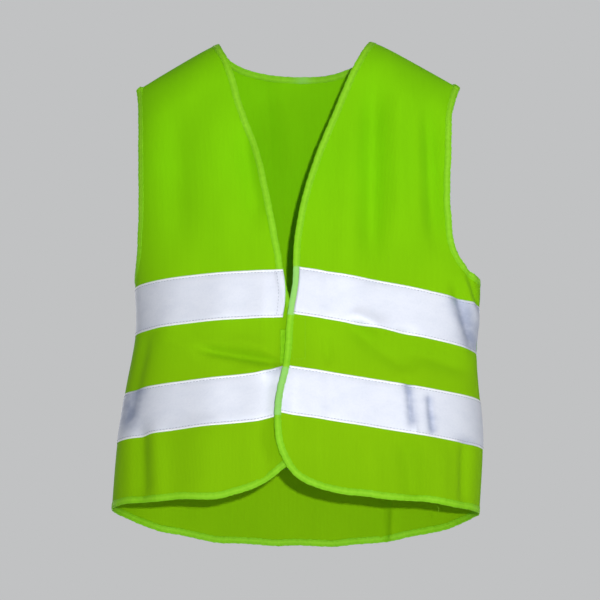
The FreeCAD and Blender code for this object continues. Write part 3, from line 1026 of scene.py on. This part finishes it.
# ---- Materials ----
class Nodes:
    """Short calls for building a shader tree."""

    def __init__(self, name):
        self.material = bpy.data.materials.new(name)
        self.material.use_nodes = True
        self.tree = self.material.node_tree
        self.shader = self.tree.nodes["Principled BSDF"]

    def add(self, kind, inputs=(), **settings):
        node = self.tree.nodes.new(kind)
        for key, value in settings.items():
            setattr(node, key, value)
        for key, value in dict(inputs).items():
            if isinstance(value, bpy.types.NodeSocket):
                self.tree.links.new(value, node.inputs[key])
            else:
                node.inputs[key].default_value = value
        return node

    def math(self, operation, a, b=0.0, c=0.0):
        return self.add("ShaderNodeMath", {0: a, 1: b, 2: c}, operation=operation).outputs[0]

    def total(self, *values):
        result = values[0]
        for value in values[1:]:
            result = self.math("ADD", result, value)
        return result

    def mix(self, factor, a, b):
        return self.add("ShaderNodeMix", {0: factor, 6: a, 7: b}, data_type="RGBA").outputs[2]

    def noise(self, vector, scale, detail=2.0, rough=0.5):
        inputs = {"Vector": vector, "Scale": scale, "Detail": detail, "Roughness": rough}
        return self.add("ShaderNodeTexNoise", inputs).outputs["Fac"]

    def remap(self, value, low, high, new_low, new_high):
        node = self.add("ShaderNodeMapRange", {0: value, 1: low, 2: high, 3: new_low, 4: new_high})
        return node.outputs[0]

    def grain(self, vector, x, y, detail=2.0, rough=0.5):
        """Noise with its own scale along each direction of the cloth."""
        scaled = self.add("ShaderNodeVectorMath", {0: vector, 1: (x, y, 1.0)}, operation="MULTIPLY")
        return self.noise(scaled.outputs[0], 1.0, detail, rough)

    def times(self, a, b):
        return self.math("MULTIPLY", a, b)

    def ribs(self, value, pitch):
        return self.math("SINE", self.times(value, 2 * pi / pitch))

    def cloth(self):
        """Position on the flat cloth in metres, then the same along it and across it."""
        uv = self.add("ShaderNodeUVMap", uv_map="cloth").outputs[0]
        x, y, _ = self.add("ShaderNodeSeparateXYZ", {0: uv}).outputs
        return uv, x, y

    def place(self):
        return self.add("ShaderNodeTexCoord").outputs["Object"]

    def finish(self, color, roughness, height=None, depth=0.0002, strength=0.6, **fixed):
        self.tree.links.new(color, self.shader.inputs["Base Color"])
        if isinstance(roughness, bpy.types.NodeSocket):
            self.tree.links.new(roughness, self.shader.inputs["Roughness"])
        else:
            self.shader.inputs["Roughness"].default_value = roughness
        for key, value in fixed.items():
            self.shader.inputs[key.replace("_", " ")].default_value = value
        if height is not None:
            relief = {"Strength": strength, "Distance": depth, "Height": height}
            bump_node = self.add("ShaderNodeBump", relief)
            self.tree.links.new(bump_node.outputs[0], self.shader.inputs["Normal"])
        return self.material


def rgb(red, green, blue):
    return (red, green, blue, 1.0)


def knit_material():
    """Warp-knitted polyester: fine upright wales crossed by finer courses, with small holes between them, and
    painted shade that darkens it towards the bottom.
    """
    m = Nodes("fluorescent_knit")
    uv, x, y = m.cloth()
    wales, courses = m.ribs(x, 1.3 * MM), m.ribs(y, 1.1 * MM)
    holes = m.times(wales, courses)
    fuzz = m.grain(uv, 2600, 900, 3.0)
    streaks = m.grain(uv, 420, 14, 3.0)
    clouds = m.grain(uv, 14, 9, 2.0)
    weave = m.total(m.times(wales, 0.5), m.times(holes, 0.35))
    height = m.total(weave, m.times(fuzz, 1.2))
    factor = m.total(m.remap(streaks, 0.3, 0.7, 0.46, 0.54), m.remap(clouds, 0.3, 0.7, -0.12, 0.12),
                     m.times(weave, 0.08), m.remap(fuzz, 0.3, 0.7, -0.06, 0.06))
    # Painted shade: the lower colours make the cloth darker towards the bottom, standing in for light that
    # falls off there.
    upper = m.mix(factor, rgb(0.175, 0.52, 0.0), rgb(0.25, 0.70, 0.001))
    lower = m.mix(factor, rgb(0.185, 0.43, 0.0), rgb(0.265, 0.57, 0.001))
    color = m.mix(m.remap(y, -0.14, -0.36, 0.0, 1.0), upper, lower)
    return m.finish(color, 0.85, height, 0.00022, 0.45, Sheen_Weight=0.06, Sheen_Roughness=0.45,
                    Sheen_Tint=rgb(0.5, 1.0, 0.1), Specular_IOR_Level=0.08)


def binding_material():
    """Woven edge tape of the same fluorescent yarn, smoother and lighter; paler over the reflective tapes, and
    with a painted highlight strip along the middle of each face.
    """
    m = Nodes("fluorescent_binding")
    uv, x, y = m.cloth()
    weave = m.times(m.ribs(x, 0.9 * MM), m.ribs(y, 0.7 * MM))
    pull = m.grain(uv, 260, 130, 2.0)
    fuzz = m.grain(uv, 2200, 2200, 2.0)
    height = m.total(m.times(weave, 0.4), m.times(pull, 2.0))
    # Painted highlight: a lighter strip along the middle of each face of the binding, where its rounding would
    # catch the light.
    painted_highlight_strip = m.math("POWER", m.math("ABSOLUTE", m.ribs(y, 15.2 * MM)), 6.0)
    factor = m.total(m.remap(pull, 0.3, 0.7, 0.0, 0.25), m.remap(fuzz, 0.3, 0.7, -0.06, 0.10),
                     m.times(painted_highlight_strip, 0.4))
    color = m.mix(factor, rgb(0.20, 0.56, 0.001), rgb(0.34, 0.76, 0.025))
    pale = m.add("ShaderNodeAttribute", attribute_name="pale").outputs["Fac"]
    color = m.mix(m.times(pale, 0.6), color, rgb(0.34, 0.72, 0.24))
    return m.finish(color, 0.6, height, 0.0002, 0.5, Sheen_Weight=0.08, Sheen_Tint=rgb(0.6, 1.0, 0.2),
                    Specular_IOR_Level=0.2)


def tape_material():
    """Glass-bead reflective fabric: even silver with a fine grain, handling marks, lighter edges beyond the
    stitching, and painted shade in the valleys of sharp folds.
    """
    m = Nodes("reflective_tape")
    uv, x, y = m.cloth()
    grain = m.grain(uv, 3800, 3800, 2.0)
    weave = m.times(m.ribs(x, 0.8 * MM), m.ribs(y, 0.8 * MM))
    marks = m.grain(uv, 46, 70, 4.0, 0.6)
    spots = m.grain(uv, 420, 380, 3.0, 0.6)
    worn = m.total(m.remap(marks, 0.42, 0.75, 0.0, 0.5), m.remap(spots, 0.45, 0.75, 0.0, 0.3))
    color = m.mix(worn, rgb(0.80, 0.83, 0.92), rgb(0.68, 0.72, 0.83))
    color = m.mix(m.remap(grain, 0.3, 0.7, 0.0, 0.22), color, rgb(0.60, 0.64, 0.74))
    # Lighter along both edges beyond the stitching.
    outside = m.remap(m.math("ABSOLUTE", y), 23.0 * MM, 23.4 * MM, 0.0, 0.9)
    color = m.mix(outside, color, rgb(0.95, 0.97, 0.99))
    # Painted shade: the tapes darken to grey-blue along the valleys of sharp folds, broken up by the marks
    # noise.
    painted_crease_shade = m.add("ShaderNodeAttribute", attribute_name="painted_crease_shade").outputs["Fac"]
    crease_shade_amount = m.times(painted_crease_shade, m.remap(marks, 0.3, 0.6, 0.45, 1.0))
    color = m.mix(m.times(crease_shade_amount, 0.7), color, rgb(0.22, 0.28, 0.46))
    height = m.total(m.times(weave, 0.4), grain)
    return m.finish(color, 0.6, height, 0.00008, 0.5, Metallic=0.35, Specular_IOR_Level=0.3)


def thread_material(name, low, high):
    """Twisted polyester thread."""
    m = Nodes(name)
    uv, x, y = m.cloth()
    ply = m.ribs(m.total(x, y), 0.45 * MM)
    grain = m.grain(uv, 5000, 9000, 2.0)
    factor = m.total(m.remap(ply, -1.0, 1.0, 0.2, 0.6), m.remap(grain, 0.3, 0.7, 0.0, 0.3))
    return m.finish(m.mix(factor, low, high), 0.6, ply, 0.00004, 0.5, Specular_IOR_Level=0.2)


def nylon_material(name, low, high, roughness):
    m = Nodes(name)
    place = m.place()
    grain = m.noise(place, 1600.0, 3.0)
    clouds = m.noise(place, 260.0, 2.0)
    factor = m.total(m.remap(grain, 0.3, 0.7, 0.1, 0.6), m.remap(clouds, 0.3, 0.7, 0.0, 0.4))
    return m.finish(m.mix(factor, low, high), roughness, grain, 0.0001, 0.6, Specular_IOR_Level=0.15)


def label_material():
    """White satin ribbon, blank, with its fine cross rib and slightly greyed by handling."""
    m = Nodes("label_satin")
    uv, _, y = m.cloth()
    rib = m.ribs(y, 0.5 * MM)
    clouds = m.grain(uv, 90, 90, 3.0)
    color = m.mix(m.remap(clouds, 0.35, 0.7, 0.0, 0.6), rgb(0.86, 0.87, 0.85), rgb(0.74, 0.76, 0.72))
    return m.finish(color, 0.36, m.total(rib, clouds), 0.00005, 0.5, Specular_IOR_Level=0.5)


def floor_material():
    m = Nodes("pale_floor")
    grain = m.noise(m.place(), 3.0, 3.0)
    return m.finish(m.mix(grain, rgb(0.7, 0.7, 0.69), rgb(0.76, 0.76, 0.75)), 0.7,
                    Emission_Color=rgb(0.86, 0.87, 0.88), Emission_Strength=0.16)


def paint(objects, material):
    for obj in objects:
        obj.data.materials.clear()
        obj.data.materials.append(material)


green_thread = thread_material("green_thread", rgb(0.16, 0.42, 0.004), rgb(0.34, 0.74, 0.03))
paint([under_panel, over_panel, back_panel] + seams, knit_material())
bindings = [under_binding, over_binding, neck_binding, hem_binding, under_arm, over_arm]
paint(bindings, binding_material())
paint(sum(tapes.values(), []), tape_material())
paint(list(binding_threads.values()) + [overlocking], green_thread)
grey_thread = thread_material("grey_thread", rgb(0.14, 0.16, 0.24), rgb(0.34, 0.37, 0.48))
paint(list(tape_stitching.values()), grey_thread)
hook_nylon = nylon_material("hook_nylon", rgb(0.20, 0.56, 0.01), rgb(0.34, 0.72, 0.04), 0.42)
paint([hook_pad, hooks], hook_nylon)
loop_nylon = nylon_material("loop_nylon", rgb(0.20, 0.56, 0.002), rgb(0.29, 0.70, 0.01), 0.85)
paint([loop_pad, loops], loop_nylon)
paint([label, label_tail], label_material())

# ---- Riding on the bodies ----
FOLD_REACH = 26 * MM


def across_fold(piece, name):
    """Bakes the piece's placement into its mesh; the direction out from its front's fold line is worked out but
    not used, so the piece does not bend.
    """
    joint = next(j for j in frame["joints"] if j["child"] == f"{name}_front")
    axis = Vector(joint["axis"])
    side = -1 if name == "under" else 1
    out = Vector((side, 0, 0))
    out = (out - axis * out.dot(axis)).normalized() * FOLD_REACH
    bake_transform(piece)


for name, panel, binding in (("under", under_panel, under_binding), ("over", over_panel, over_binding)):
    for piece in [panel, binding, binding_threads[name], tape_stitching[name]] + tapes[name]:
        across_fold(piece, name)
    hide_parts(f"{name}_front_panel_side", f"{name}_front_panel_flap")
    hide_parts(f"{name}_front_edge_binding", f"{name}_neck_binding", f"{name}_hem_binding")
    for level, tape in zip(("upper", "lower"), tapes[name]):
        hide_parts(f"{name}_{level}_tape_side", f"{name}_{level}_tape_flap")

for piece, node in ((back_panel, "back_panel"), (neck_binding, "back_neck_binding"),
                    (hem_binding, "back_hem_binding"), (under_arm, "under_armhole_binding"),
                    (over_arm, "over_armhole_binding"),
                    (tapes["back"][0], "back_upper_tape"), (tapes["back"][1], "back_lower_tape")):
    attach(piece, "vest_body")
    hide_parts(node)
for piece in seams + [binding_threads["back"], tape_stitching["back"], overlocking, label_tail]:
    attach(piece, "vest_body")
for pad, field, body, node in ((hook_pad, hooks, "over_front", "hook_patch"),
                               (loop_pad, loops, "under_front", "loop_patch")):
    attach(pad, body)
    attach(field, body)
    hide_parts(node)
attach(label, "label")
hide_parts("care_label")


# ---- Stage, light and camera ----
CAMERA_TARGET = Vector((3.0, 0.0, -272.0)) * MM
CAMERA_DISTANCE = 3.6
CAMERA_ELEVATION = radians(-9.0)
LENS = 209.0
WORLD_AROUND = 0.31
WORLD_BEHIND = 0.62
BEHIND_FROM = (0.80, 0.93)     # from the room around to the room behind, by the Y of the direction
FLOOR_REACH, FLOOR_DROP = 12.0, 0.62


def look_at(obj, place, target):
    obj.location = place
    obj.rotation_mode = "QUATERNION"
    obj.rotation_quaternion = (Vector(target) - Vector(place)).to_track_quat("-Z", "Y")


def area_light(name, place, size, power, spread=180):
    data = bpy.data.lights.new(name, "AREA")
    data.shape = "DISK"
    data.size = size
    data.energy = power
    data.spread = radians(spread)
    light = bpy.data.objects.new(name, data)
    bpy.context.scene.collection.objects.link(light)
    look_at(light, Vector(place), CAMERA_TARGET)


def stage():
    mesh = bpy.data.meshes.new("studio_floor")
    reach, level = FLOOR_REACH, cad_low.z - FLOOR_DROP
    corners = [(-reach, -reach, level), (reach, -reach, level), (reach, reach, level), (-reach, reach, level)]
    mesh.from_pydata(corners, [], [(0, 1, 2, 3)])
    floor = bpy.data.objects.new("studio_floor", mesh)
    bpy.context.scene.collection.objects.link(floor)
    mesh.materials.append(floor_material())
    world = bpy.data.worlds.new("studio")
    world.use_nodes = True
    background = world.node_tree.nodes["Background"]
    background.inputs[0].default_value = (0.86, 0.87, 0.88, 1)
    # The room is paler behind the vest than around it.
    split = world.node_tree.nodes.new("ShaderNodeSeparateXYZ")
    coordinates = world.node_tree.nodes.new("ShaderNodeTexCoord")
    paler = world.node_tree.nodes.new("ShaderNodeMapRange")
    world.node_tree.links.new(coordinates.outputs["Generated"], split.inputs[0])
    world.node_tree.links.new(split.outputs["Y"], paler.inputs[0])
    world.node_tree.links.new(paler.outputs[0], background.inputs[1])
    for index, value in enumerate((*BEHIND_FROM, WORLD_AROUND, WORLD_BEHIND), 1):
        paler.inputs[index].default_value = value
    bpy.context.scene.world = world
    bpy.context.scene.view_settings.view_transform = "Standard"
    area_light("key", (0.19, -3.56, -0.65), 0.07, 5.3, 50)
    area_light("side", (2.2, -1.8, 0.9), 0.8, 16)
    area_light("back", (-1.6, 5.4, 1.6), 2.5, 84)


def camera():
    data = bpy.data.cameras.new("camera")
    data.lens = LENS
    data.sensor_width = 36.0
    data.dof.use_dof = False
    data.clip_end = 100.0
    obj = bpy.data.objects.new("camera", data)
    bpy.context.scene.collection.objects.link(obj)
    back = Vector((0, -np.cos(CAMERA_ELEVATION), np.sin(CAMERA_ELEVATION)))
    look_at(obj, CAMERA_TARGET + back * CAMERA_DISTANCE, CAMERA_TARGET)
    bpy.context.scene.camera = obj


stage()
camera()
